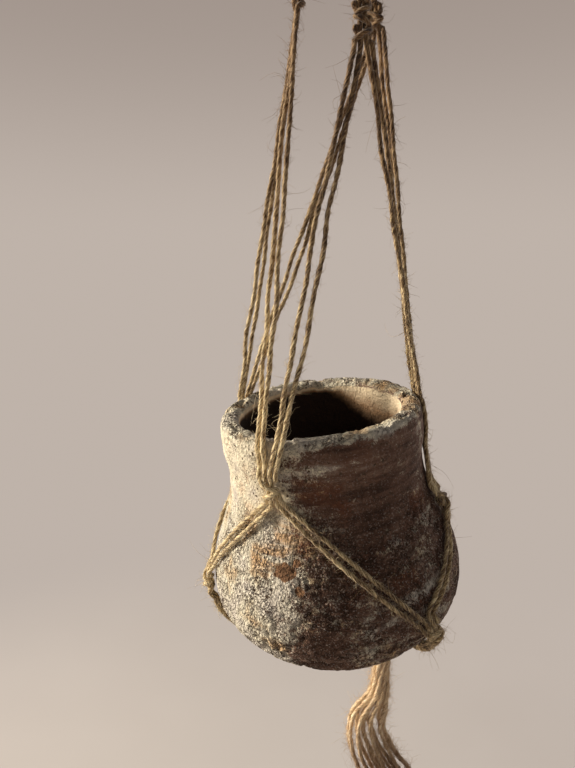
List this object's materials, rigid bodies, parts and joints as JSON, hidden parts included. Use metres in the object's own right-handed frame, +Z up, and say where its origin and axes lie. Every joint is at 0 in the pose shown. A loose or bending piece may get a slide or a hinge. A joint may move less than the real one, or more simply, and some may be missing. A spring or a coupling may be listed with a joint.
{
  "type": "hanging clay planter",
  "caption": "Rustic clay plant pot with a thick lip and round belly, held in a knotted jute hanger with a steel ring above and a tassel below; hangs from a hook.",
  "frame": {"origin": "the point inside the top of the ring that rests on the hook", "axes": "+Z up; -Y faces the viewer of the picture, +X is to that viewer's right; the ring stands in the XZ plane"},
  "size_m": [0.1401, 0.1347, 0.6318],
  "materials": {
    "clay": "matte",
    "jute": "matte",
    "ring_steel": "satin"
  },
  "bodies": {
    "ring": {"hang_ring": "ring_steel"},
    "hanger": {"left_leg_knots": "jute", "front_leg_knots": "jute", "back_leg_knots": "jute", "folded_cord_1": "jute", "folded_cord_2": "jute", "folded_cord_3": "jute", "folded_cord_4": "jute", "folded_cord_5": "jute", "folded_cord_6": "jute", "top_whipping": "jute", "front_upper_knot": "jute", "right_upper_knot": "jute", "back_upper_knot": "jute", "left_lower_knot": "jute", "right_lower_knot": "jute", "back_lower_knot": "jute", "left_leg_to_front_yarn_1": "jute", "left_leg_to_front_yarn_2": "jute", "left_leg_to_back_yarn_1": "jute", "left_leg_to_back_yarn_2": "jute", "front_leg_to_right_yarn_1": "jute", "front_leg_to_right_yarn_2": "jute", "front_leg_to_front_yarn_1": "jute", "front_leg_to_front_yarn_2": "jute", "back_leg_to_back_yarn_1": "jute", "back_leg_to_back_yarn_2": "jute", "back_leg_to_right_yarn_1": "jute", "back_leg_to_right_yarn_2": "jute", "net_front_to_left_yarn_1": "jute", "net_front_to_left_yarn_2": "jute", "net_front_to_right_yarn_1": "jute", "net_front_to_right_yarn_2": "jute", "net_right_to_right_yarn_1": "jute", "net_right_to_right_yarn_2": "jute", "net_right_to_back_yarn_1": "jute", "net_right_to_back_yarn_2": "jute", "net_back_to_back_yarn_1": "jute", "net_back_to_back_yarn_2": "jute", "net_back_to_left_yarn_1": "jute", "net_back_to_left_yarn_2": "jute", "gathering_knot": "jute", "left_sling": "jute", "right_sling": "jute", "back_sling": "jute"},
    "pot": {"clay_pot": "clay"},
    "tassel": {"tassel_neck": "jute", "tassel_yarn_1": "jute", "tassel_yarn_2": "jute", "tassel_yarn_3": "jute", "tassel_yarn_4": "jute", "tassel_yarn_5": "jute", "tassel_yarn_6": "jute", "tassel_yarn_7": "jute", "tassel_yarn_8": "jute", "tassel_yarn_9": "jute", "tassel_yarn_10": "jute", "tassel_yarn_11": "jute", "tassel_yarn_12": "jute"}
  },
  "joints": [
    {"name": "hanger_swing", "type": "hinge", "parent": "ring", "child": "hanger", "pos_m": [0, 0, -0.0375], "axis": [1, 0, 0], "range_deg": [-30, 30]},
    {"name": "pot_turn", "type": "hinge", "parent": "hanger", "child": "pot", "pos_m": [0, 0, -0.42915], "axis": [-0.1142, -0.0633, 0.9914], "continuous": true},
    {"name": "tassel_swing", "type": "hinge", "parent": "hanger", "child": "tassel", "pos_m": [0.03084, 0.0034, -0.50007], "axis": [1, 0, 0], "range_deg": [-30, 30]}
  ]
}
